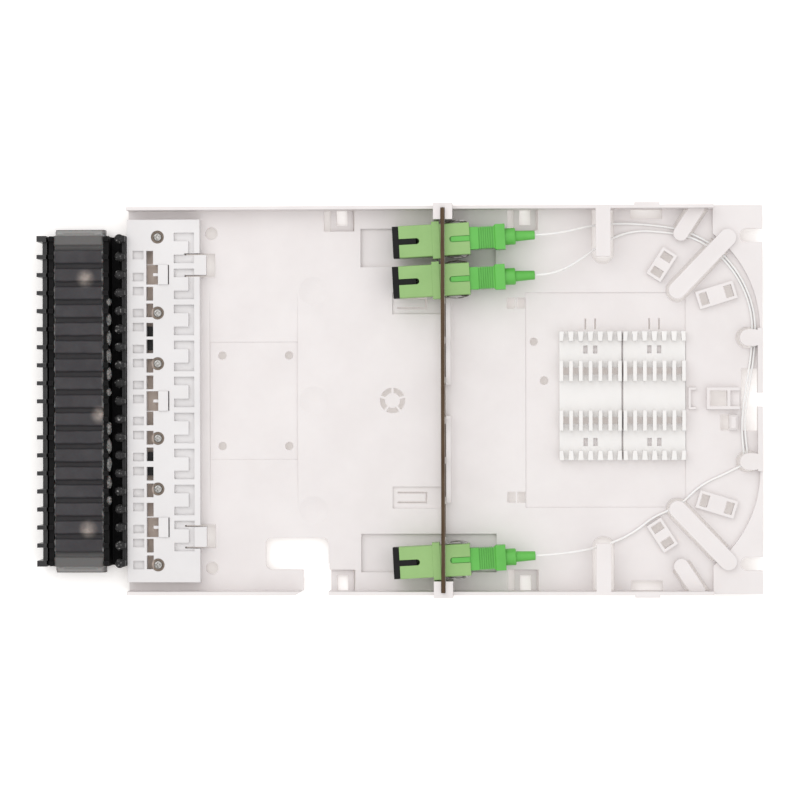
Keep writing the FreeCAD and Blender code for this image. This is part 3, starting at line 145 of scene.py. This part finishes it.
class Graph:
    """A material's node tree with short calls for the nodes that the finishes share."""

    def __init__(self, name):
        self.material = bpy.data.materials.new(name)
        self.material.use_nodes = True
        self.tree = self.material.node_tree
        self.tree.nodes.clear()
        self.output = self.add("ShaderNodeOutputMaterial")
        self.shader = self.add("ShaderNodeBsdfPrincipled")
        self.link(self.shader.outputs["BSDF"], self.output.inputs["Surface"])
        self.place = self.add("ShaderNodeTexCoord").outputs["Object"]

    def add(self, kind, **settings):
        node = self.tree.nodes.new(kind)
        for name, value in settings.items():
            setattr(node, name, value)
        return node

    def link(self, source, target):
        self.tree.links.new(source, target)

    def put(self, **values):
        for name, value in values.items():
            self.shader.inputs[name.replace("_", " ")].default_value = value

    def noise(self, size, detail=3.0, roughness=0.55, stretch=None):
        node = self.add("ShaderNodeTexNoise")
        node.inputs["Scale"].default_value = 1.0 / size
        node.inputs["Detail"].default_value = detail
        node.inputs["Roughness"].default_value = roughness
        source = self.place
        if stretch:
            mapping = self.add("ShaderNodeMapping")
            mapping.inputs["Scale"].default_value = stretch
            self.link(self.place, mapping.inputs["Vector"])
            source = mapping.outputs["Vector"]
        self.link(source, node.inputs["Vector"])
        return node.outputs["Fac"]

    def ramp(self, source, low, high, start=0.35, stop=0.65):
        node = self.add("ShaderNodeValToRGB")
        node.color_ramp.elements[0].position = start
        node.color_ramp.elements[0].color = (*low, 1.0)
        node.color_ramp.elements[1].position = stop
        node.color_ramp.elements[1].color = (*high, 1.0)
        self.link(source, node.inputs["Fac"])
        return node.outputs["Color"]

    def map_range(self, source, low, high, start, stop, **settings):
        node = self.add("ShaderNodeMapRange", **settings)
        node.inputs["From Min"].default_value = start
        node.inputs["From Max"].default_value = stop
        node.inputs["To Min"].default_value = low
        node.inputs["To Max"].default_value = high
        self.link(source, node.inputs["Value"])
        return node.outputs["Result"]

    def spread(self, source, low, high, start=0.3, stop=0.7):
        return self.map_range(source, low, high, start, stop)

    def maths(self, operation, first, second):
        node = self.add("ShaderNodeMath", operation=operation)
        for socket, value in zip(node.inputs, (first, second)):
            if isinstance(value, (int, float)):
                socket.default_value = value
            else:
                self.link(value, socket)
        return node.outputs["Value"]

    def near(self, point, radius, core=0.0):
        """1 within a core round a point, falling softly to 0 at a radius from it."""
        node = self.add("ShaderNodeVectorMath", operation="DISTANCE")
        self.link(self.place, node.inputs[0])
        node.inputs[1].default_value = point
        return self.map_range(node.outputs["Value"], 1.0, 0.0, core, radius,
                              interpolation_type="SMOOTHSTEP")

    def along(self, axis, start, stop):
        """0 up to one place on an axis of the piece, in mm, and 1 from another."""
        axes = self.add("ShaderNodeSeparateXYZ")
        self.link(self.place, axes.inputs["Vector"])
        return self.spread(axes.outputs[axis], 0.0, 1.0, start * MM, stop * MM)

    def rounded_normal(self, radius):
        node = self.add("ShaderNodeBevel", samples=4)
        node.inputs["Radius"].default_value = radius
        return node.outputs["Normal"]

    def edge(self, radius):
        """1 along the edges of the piece and 0 on its flats."""
        geometry = self.add("ShaderNodeNewGeometry")
        dot = self.add("ShaderNodeVectorMath", operation="DOT_PRODUCT")
        self.link(self.rounded_normal(radius), dot.inputs[0])
        self.link(geometry.outputs["Normal"], dot.inputs[1])
        return self.spread(dot.outputs["Value"], 1.0, 0.0, 0.8, 0.99)

    def bump(self, source, height, round_radius=0.0):
        node = self.add("ShaderNodeBump")
        node.inputs["Strength"].default_value = 1.0
        node.inputs["Distance"].default_value = height
        self.link(source, node.inputs["Height"])
        if round_radius:
            self.link(self.rounded_normal(round_radius), node.inputs["Normal"])
        self.link(node.outputs["Normal"], self.shader.inputs["Normal"])

    def mix(self, factor, first, second):
        node = self.add("ShaderNodeMix", data_type="RGBA", blend_type="MIX")
        sockets = (node.inputs["Factor"], node.inputs[6], node.inputs[7])
        for socket, value in zip(sockets, (factor, first, second)):
            if isinstance(value, tuple):
                socket.default_value = (*value, 1.0)
            else:
                self.link(value, socket)
        return node.outputs[2]

    def colour(self, source):
        self.link(source, self.shader.inputs["Base Color"])

    def roughness(self, source):
        self.link(source, self.shader.inputs["Roughness"])


# Finishes

def moulded(name, dark, light, rough, grain_height=0.01 * MM, cloud=18 * MM, rounding=0.22 * MM,
            wear_and_highlight=None, scatter=0.0, coat=0.0, shine=0.5, recess_shade=(), shade_under_tie=None, wet_glints=None):
    """Moulded plastic: flow clouds, fine scuffs, a fine grain, soft edges and uneven gloss; where
    asked, paler edges that are partly wear and partly painted highlight, painted glints, and
    painted shade round screw seats and under the tie plate.
    """
    g = Graph(name)
    base = g.ramp(g.noise(cloud, 4.0), dark, light)
    scuffs = g.spread(g.noise(0.8 * MM, 5.0, 0.7, (0.15, 1.0, 1.0)), 0.0, 1.0, 0.60, 0.78)
    if wear_and_highlight:
        # Paler edges: partly wear, partly a painted highlight
        patches = g.spread(g.noise(2 * MM, 4.0), 0.2, 0.9)
        base = g.mix(g.maths("MULTIPLY", g.edge(2 * rounding), patches), base, wear_and_highlight)
    if wet_glints:
        # Painted glints of wet gel on the posts of the inner comb
        glint_noise = g.spread(g.noise(0.9 * MM, 3.0, 0.6), 0.0, 0.8, 0.58, 0.70)
        posts = g.along("X", WET_GLINT_POSTS + 0.3, WET_GLINT_POSTS)
        base = g.mix(g.maths("MULTIPLY", glint_noise, posts), base, wet_glints)
    for point in recess_shade:
        # Painted shade in the recess round each screw seat
        spot = g.near([v * MM for v in point], RECESS_SHADE_REACH[1] * MM, RECESS_SHADE_REACH[0] * MM)
        base = g.mix(spot, base, RECESS_SHADE)
    if shade_under_tie:
        # Painted shade on the tray's floor under the tie plate
        x, y, z = shade_under_tie
        under_tie_mask = g.maths("MULTIPLY", g.along("X", x + 1, x), g.along("Z", z - 1, z))
        for side in (-1, 1):
            under_tie_mask = g.maths("MULTIPLY", under_tie_mask, g.along("Y", side * (y + 1), side * y))
        base = g.mix(under_tie_mask, base, UNDER_TIE_SHADE)
    g.colour(base)
    gloss = g.spread(g.noise(3 * MM), rough[0], rough[1])
    g.roughness(g.maths("ADD", gloss, g.maths("MULTIPLY", scuffs, 0.12)))
    g.bump(g.noise(0.3 * MM, 2.0), grain_height, rounding)
    g.put(IOR=1.49, Specular_IOR_Level=shine, Coat_Weight=coat, Coat_Roughness=0.25)
    if scatter:
        g.put(Subsurface_Weight=scatter, Subsurface_Scale=1.2 * MM,
              Subsurface_Radius=(1.0, 0.9, 0.8))
    return g.material


def bare_edge():
    """Cut steel with fine lines along the plate."""
    g = Graph("plate_edge")
    lines = g.noise(0.5 * MM, 4.0, stretch=(1, 0.05, 1))
    g.colour(g.ramp(lines, (0.066, 0.042, 0.027), (0.108, 0.074, 0.048)))
    g.roughness(g.spread(lines, 0.4, 0.55))
    g.bump(lines, 0.01 * MM, 0.08 * MM)
    g.put(Metallic=1.0)
    return g.material


def smoked_gel():
    """Dark satin gel, with painted shade in its grooves, painted highlights along its sides,
    painted light on its end ribs and lugs, and painted glows where light comes up through it.
    """
    g = Graph("smoked_gel")
    crown = g.ramp(g.noise(9 * MM, 5.0, 0.6), (0.042, 0.039, 0.043), (0.056, 0.053, 0.057))
    # Painted shade: the grooves darker below the crown
    base = g.mix(g.along("Z", GROOVE_Z, CROWN_Z), (0.030, 0.028, 0.030), crown)
    low, high = GEL_SIDES_X
    # Painted highlight along both sides of the gel
    rim = g.maths("MAXIMUM", g.along("X", low + GEL_SIDE_HIGHLIGHT, low), g.along("X", high - GEL_SIDE_HIGHLIGHT, high))
    rim = g.maths("MULTIPLY", rim, g.spread(g.noise(2.5 * MM, 3.0), 0.15, 1.0, 0.42, 0.6))
    base = g.mix(rim, base, (0.30, 0.295, 0.29))
    for side in (-1, 1):
        # Painted light on the end ribs, where the gel is thin
        end_rib_light = g.along("Y", side * END_RIB_Y[0], side * END_RIB_Y[1])
        base = g.mix(end_rib_light, base, (0.125, 0.121, 0.119))
    # Painted light on the lugs, paler near their tops
    lug = g.maths("MULTIPLY", g.along("Z", LUG_TOP_Z, LUG_Z), g.along("Z", LUG_FOOT_Z, LUG_Z))
    base = g.mix(lug, base, (0.30, 0.295, 0.29))
    dust = g.spread(g.noise(0.5 * MM, 6.0, 0.75), 0.0, 0.35, 0.62, 0.75)
    base = g.mix(dust, base, (0.12, 0.115, 0.115))
    glow = None
    # Painted glows where light comes up through the gel
    for x, y in GEL_GLOWS:
        spot = g.near((x * MM, y * MM, GLOW_Z * MM), GLOW_RADIUS * MM)
        glow = spot if glow is None else g.maths("MAXIMUM", glow, spot)
    patchy = g.maths("MULTIPLY", glow, g.spread(g.noise(2.5 * MM, 3.0), 0.45, 1.0))
    g.colour(g.mix(patchy, base, (0.36, 0.31, 0.28)))
    g.roughness(g.spread(g.noise(2.2 * MM, 4.0), 0.34, 0.52))
    g.bump(g.noise(0.9 * MM, 4.0), 0.05 * MM)
    g.put(IOR=1.41, Specular_IOR_Level=0.2, Subsurface_Weight=0.15, Subsurface_Scale=2 * MM)
    return g.material


def crept_gel():
    """Thin gel over the black wall, paler and wetter than the block."""
    g = Graph("crept_gel")
    film = g.noise(0.7 * MM, 5.0, 0.7)
    g.colour(g.ramp(film, (0.06, 0.057, 0.056), (0.30, 0.29, 0.28), 0.42, 0.68))
    g.roughness(g.spread(g.noise(1.2 * MM), 0.12, 0.3))
    g.bump(g.noise(0.6 * MM, 4.0), 0.08 * MM)
    g.put(IOR=1.41, Subsurface_Weight=0.2, Subsurface_Scale=1 * MM)
    return g.material


def plated_screw():
    """Zinc-plated steel: bright on the crown, with painted shade at the edges and in the cross."""
    g = Graph("plated_screw")
    lines = g.noise(0.3 * MM, 4.0)
    steel = g.ramp(lines, (0.36, 0.35, 0.335), (0.52, 0.51, 0.495))
    # Painted shade along the edges of the head and in the cross
    edge_shade = g.maths("MULTIPLY", g.edge(0.5 * MM), 0.85)
    g.colour(g.mix(edge_shade, steel, (0.09, 0.078, 0.066)))
    g.roughness(g.spread(lines, 0.2, 0.34))
    g.bump(lines, 0.008 * MM, 0.12 * MM)
    g.put(Metallic=1.0)
    return g.material


def crumpled_spring():
    """Thin bright spring steel with creases, and painted light and shade that follow them."""
    g = Graph("spring_steel")
    creases_and_painted_light = g.noise(2.2 * MM, 5.0, 0.65, (0.6, 1.0, 1.4))
    # Painted light and shade that follow the creases
    g.colour(g.ramp(creases_and_painted_light, (0.05, 0.042, 0.034), (0.60, 0.58, 0.56), 0.47, 0.67))
    g.roughness(g.spread(creases_and_painted_light, 0.16, 0.34))
    g.bump(creases_and_painted_light, 0.25 * MM, 0.06 * MM)
    g.put(Metallic=1.0)
    return g.material


materials = {
    "white_plastic": moulded(
        "white_moulding", (0.735, 0.693, 0.686), (0.765, 0.725, 0.718), (0.40, 0.52),
        scatter=0.06, shade_under_tie=UNDER_TIE_SHADE_BOX),
    "tie_white": moulded(
        "tie_white", (0.700, 0.680, 0.680), (0.735, 0.715, 0.715), (0.36, 0.46),
        scatter=0.06, recess_shade=SCREW_SEATS),
    "splice_white": moulded(
        "splice_white", (0.78, 0.76, 0.745), (0.81, 0.79, 0.775), (0.36, 0.46), scatter=0.06),
    "black_plastic": moulded(
        "black_moulding", (0.010, 0.009, 0.010), (0.016, 0.015, 0.016), (0.24, 0.36),
        wear_and_highlight=(0.14, 0.136, 0.138), shine=0.42),
    "channel_black": moulded(
        "channel_black", (0.005, 0.005, 0.005), (0.009, 0.008, 0.009), (0.42, 0.58),
        wear_and_highlight=(0.04, 0.039, 0.04), shine=0.09),
    "comb_black": moulded(
        "comb_black", (0.006, 0.006, 0.006), (0.011, 0.010, 0.011), (0.3, 0.45),
        wear_and_highlight=(0.09, 0.088, 0.09), shine=0.26, wet_glints=(0.34, 0.33, 0.32)),
    "seal_gel": smoked_gel(),
    "screw_steel": plated_screw(),
    "plate_metal": bare_edge(),
    "plate_face": moulded(
        "plate_face", (0.58, 0.55, 0.52), (0.64, 0.61, 0.58), (0.3, 0.42), rounding=0.06 * MM),
    "adapter_green": moulded(
        "adapter_green", (0.240, 0.418, 0.140), (0.275, 0.460, 0.163), (0.33, 0.45),
        rounding=0.25 * MM, scatter=0.04),
    "latch_plastic": moulded(
        "latch_black", (0.02, 0.02, 0.02), (0.035, 0.035, 0.035), (0.4, 0.5)),
    "ceramic_white": moulded(
        "zirconia", (0.74, 0.73, 0.70), (0.82, 0.81, 0.78), (0.08, 0.14),
        grain_height=0.001 * MM, rounding=0.08 * MM, coat=0.5),
    "spring_steel": crumpled_spring(),
    "cap_plastic": moulded(
        "cap_black", (0.007, 0.007, 0.007), (0.012, 0.012, 0.012), (0.45, 0.6),
        wear_and_highlight=(0.03, 0.03, 0.03), shine=0.15),
    "connector_green": moulded(
        "connector_green", (0.090, 0.405, 0.053), (0.112, 0.457, 0.070), (0.34, 0.45),
        rounding=0.2 * MM, scatter=0.04),
    "fibre_white": moulded(
        "fibre_buffer", (0.80, 0.787, 0.775), (0.85, 0.838, 0.825), (0.26, 0.36),
        grain_height=0.003 * MM, cloud=30 * MM, rounding=0.0, scatter=0.2),
}
# Nodes whose finish differs from the one of their material slot
FINISHES = {
    "tie_plate": "tie_white",
    "splice_holder_1": "splice_white",
    "splice_holder_2": "splice_white",
    "seal_channel": "channel_black",
    "inner_seal_comb": "comb_black",
}

for part in frame["record"]["subparts"]:
    mesh = nodes[part["node"]].data
    mesh.materials.clear()
    mesh.materials.append(materials[FINISHES.get(part["node"], part["material_slot"])])

# The adapter plate's two broad faces are coated, and its cut edges are bare
plate_mesh = nodes["adapter_plate"].data
plate_mesh.materials.append(materials["plate_face"])
for face in plate_mesh.polygons:
    face.material_index = 1 if abs(face.normal.x) > 0.9 else 0


# Pieces that the scene adds

def piece(name, data, slot_name, *replaced):
    obj = bpy.data.objects.new(name, data)
    bpy.context.scene.collection.objects.link(obj)
    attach(obj, BODY)
    if replaced:
        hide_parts(*replaced)
    return obj


def smooth_mesh(name, bm, material):
    mesh = bpy.data.meshes.new(name)
    bm.to_mesh(mesh)
    bm.free()
    mesh.shade_smooth()
    mesh.materials.append(material)
    return mesh


def pigtail(number):
    curve = bpy.data.curves.new(f"fibre_{number}", "CURVE")
    curve.dimensions = "3D"
    curve.bevel_depth = FIBRE_DIAMETER / 2 * MM
    curve.bevel_resolution = 5
    curve.resolution_u = 8
    curve.use_fill_caps = True
    route = [Vector(point) * MM for point in FIBRE_ROUTES[number - 1]]
    spline = curve.splines.new("NURBS")
    spline.points.add(len(route) - 1)
    for target, point in zip(spline.points, route):
        target.co = (*point, 1.0)
    spline.order_u = 3
    spline.use_endpoint_u = True
    curve.materials.append(materials["fibre_white"])
    obj = piece(f"fibre_{number}", curve, "fibre_white", f"pigtail_{number}")


def soft_step(value):
    value = min(max(value, 0.0), 1.0)
    return value * value * (3 - 2 * value)


def gel_height(x, y, low, high, channel_half, pitch):
    """Top of the gel, in mm, over the channel and over the lugs beyond its ends."""
    waver = noise.noise(Vector((x * WAVER_RATE, y * WAVER_RATE, WAVER_SLICE)))
    ripple = noise.noise(Vector((x * RIPPLE_RATE, y * RIPPLE_RATE, RIPPLE_SLICE)))
    from_rib = abs((y / pitch + 0.5) % 1.0 - 0.5) * pitch
    rib = 1.0 - soft_step((from_rib - RIB_HALF_WIDTH - RIB_WAVER * waver) / RIB_SLOPE)
    from_side = min(x - low[0], high[0] - x)
    roll = (1.0 - soft_step(from_side / SIDE_ROLL)) * (RIB_DROP + GROOVE_DROP * (1 - rib))
    groove = RIB_RISE * (1 - rib) * (1.0 + GROOVE_WAVER * waver)
    top = high[2] - TOP_GAP - groove - roll + GROOVE_RIPPLE * ripple * (1 - rib)
    beyond = abs(y) - channel_half
    if beyond > 0:
        nose = soft_step((beyond - NOSE_START) / NOSE_LENGTH)
        lug = high[2] - LUG_DROP - NOSE_DROP * nose + LUG_RIPPLE * ripple
        knob = soft_step((KNOB_HALF_WIDTH - abs(from_side - KNOB_FROM_SIDE)) / KNOB_SLOPE)
        lug += KNOB_RISE * knob * soft_step(KNOB_REACH - beyond)
        lug -= LUG_SIDE_DROP * (1.0 - soft_step(from_side / LUG_SIDE_ROLL))
        top = top + (lug - top) * soft_step(beyond / LUG_BLEND)
    return min(top, high[2])


def gel_block():
    """The gel as a grid of heights with straight sides; returns the pitch of its ribs in mm."""
    low = [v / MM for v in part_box("gel_block")[0]]
    high = [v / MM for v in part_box("gel_block")[1]]
    low[1] -= LUG_SWELL
    high[1] += LUG_SWELL
    comb_low, comb_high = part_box("outer_seal_comb")
    comb_half = (comb_high[1] - comb_low[1]) / 2 / MM
    channel_low, channel_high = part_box("seal_channel")
    channel_half = (channel_high[1] - channel_low[1]) / 2 / MM
    pitch = 2 * (comb_half - END_TOOTH_WIDTH / 2) / CABLE_COUNT
    columns = round((high[0] - low[0]) / GEL_STEP_X)
    rows = round((high[1] - low[1]) / GEL_STEP_Y)
    bm = bmesh.new()
    grid = []
    for j in range(rows + 1):
        y = low[1] + (high[1] - low[1]) * j / rows
        line = []
        for i in range(columns + 1):
            x = low[0] + (high[0] - low[0]) * i / columns
            z = gel_height(x, y, low, high, channel_half, pitch)
            line.append(bm.verts.new((x * MM, y * MM, z * MM)))
        grid.append(line)
    for near, far in zip(grid, grid[1:]):
        for i in range(columns):
            bm.faces.new((near[i], near[i + 1], far[i + 1], far[i]))
    right = [line[-1] for line in grid[1:]]
    left = [line[0] for line in grid[-2:0:-1]]
    rim = grid[0] + right + grid[-1][-2::-1] + left
    foot = [bm.verts.new((v.co.x, v.co.y, low[2] * MM)) for v in rim]
    for k in range(len(rim)):
        after = (k + 1) % len(rim)
        bm.faces.new((rim[after], rim[k], foot[k], foot[after]))
    bm.faces.new(foot[::-1])
    mesh = smooth_mesh("sealing_gel", bm, materials["seal_gel"])
    piece("sealing_gel", mesh, "seal_gel", "gel_block")
    return pitch


def gel_beads(pitch):
    """Beads of gel that crept over the inner wall of the channel, between its posts."""
    gel_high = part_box("gel_block")[1]
    wall_x = gel_high[0] + BEAD_FROM_GEL * MM
    crest = gel_high[2] - BEAD_DROP * MM
    bm = bmesh.new()
    for row, width in GEL_BEADS.items():
        middle = Vector((wall_x, (CABLE_COUNT / 2 - row + 0.5) * pitch * MM, crest))
        ball = bmesh.ops.create_icosphere(bm, subdivisions=4, radius=1.0)["verts"]
        for vert in ball:
            lump = noise.noise(vert.co * LUMP_RATE + Vector((row * LUMP_STEP, 0, 0)))
            uneven = 1.0 + BEAD_LUMPS * lump
            x, y, z = vert.co
            bead = Vector((x, y * width * BEAD_STRETCH, z * BEAD_HEIGHT))
            vert.co = middle + bead * uneven * MM
    piece("gel_beads", smooth_mesh("gel_beads", bm, crept_gel()), "seal_gel")


for fibre in (1, 2, 3):
    pigtail(fibre)
gel_beads(gel_block())


# Stage

def floor():
    size = FLOOR_REACH
    mesh = bpy.data.meshes.new("floor")
    corners = [(-size, -size, 0), (size, -size, 0), (size, size, 0), (-size, size, 0)]
    mesh.from_pydata(corners, [], [(0, 1, 2, 3)])
    obj = bpy.data.objects.new("floor", mesh)
    bpy.context.scene.collection.objects.link(obj)
    g = Graph("pale_floor")
    g.colour(g.ramp(g.noise(0.4, 2.0), (0.93, 0.925, 0.92), (0.95, 0.945, 0.94)))
    g.put(Roughness=0.9, Emission_Color=(1.0, 0.93, 0.88, 1.0), Emission_Strength=0.22)
    mesh.materials.append(g.material)


def area_light(name, place, size, power):
    """A rectangular light that faces the middle of the part."""
    data = bpy.data.lights.new(name, "AREA")
    data.shape = "RECTANGLE"
    data.size, data.size_y = size
    data.energy = power
    obj = bpy.data.objects.new(name, data)
    obj.location = place
    obj.rotation_euler = (-Vector(place)).to_track_quat("-Z", "Y").to_euler()
    bpy.context.scene.collection.objects.link(obj)


def studio():
    world = bpy.data.worlds.new("studio")
    bpy.context.scene.world = world
    world.use_nodes = True
    background = world.node_tree.nodes["Background"]
    background.inputs["Color"].default_value = (1.0, 1.0, 1.0, 1.0)
    background.inputs["Strength"].default_value = WORLD_STRENGTH
    for name, (place, size, power) in LIGHTS.items():
        area_light(name, place, size, power)


def camera():
    data = bpy.data.cameras.new("camera")
    data.sensor_width = SENSOR
    data.sensor_fit = "HORIZONTAL"
    data.angle = FIELD_OF_VIEW
    data.clip_start = CLIP_START
    obj = bpy.data.objects.new("camera", data)
    obj.location = CAMERA_PLACE
    obj.rotation_euler = (0, CAMERA_TILT, CAMERA_ROLL)
    bpy.context.scene.collection.objects.link(obj)
    bpy.context.scene.camera = obj


floor()
studio()
camera()
bpy.context.scene.view_settings.view_transform = "Standard"
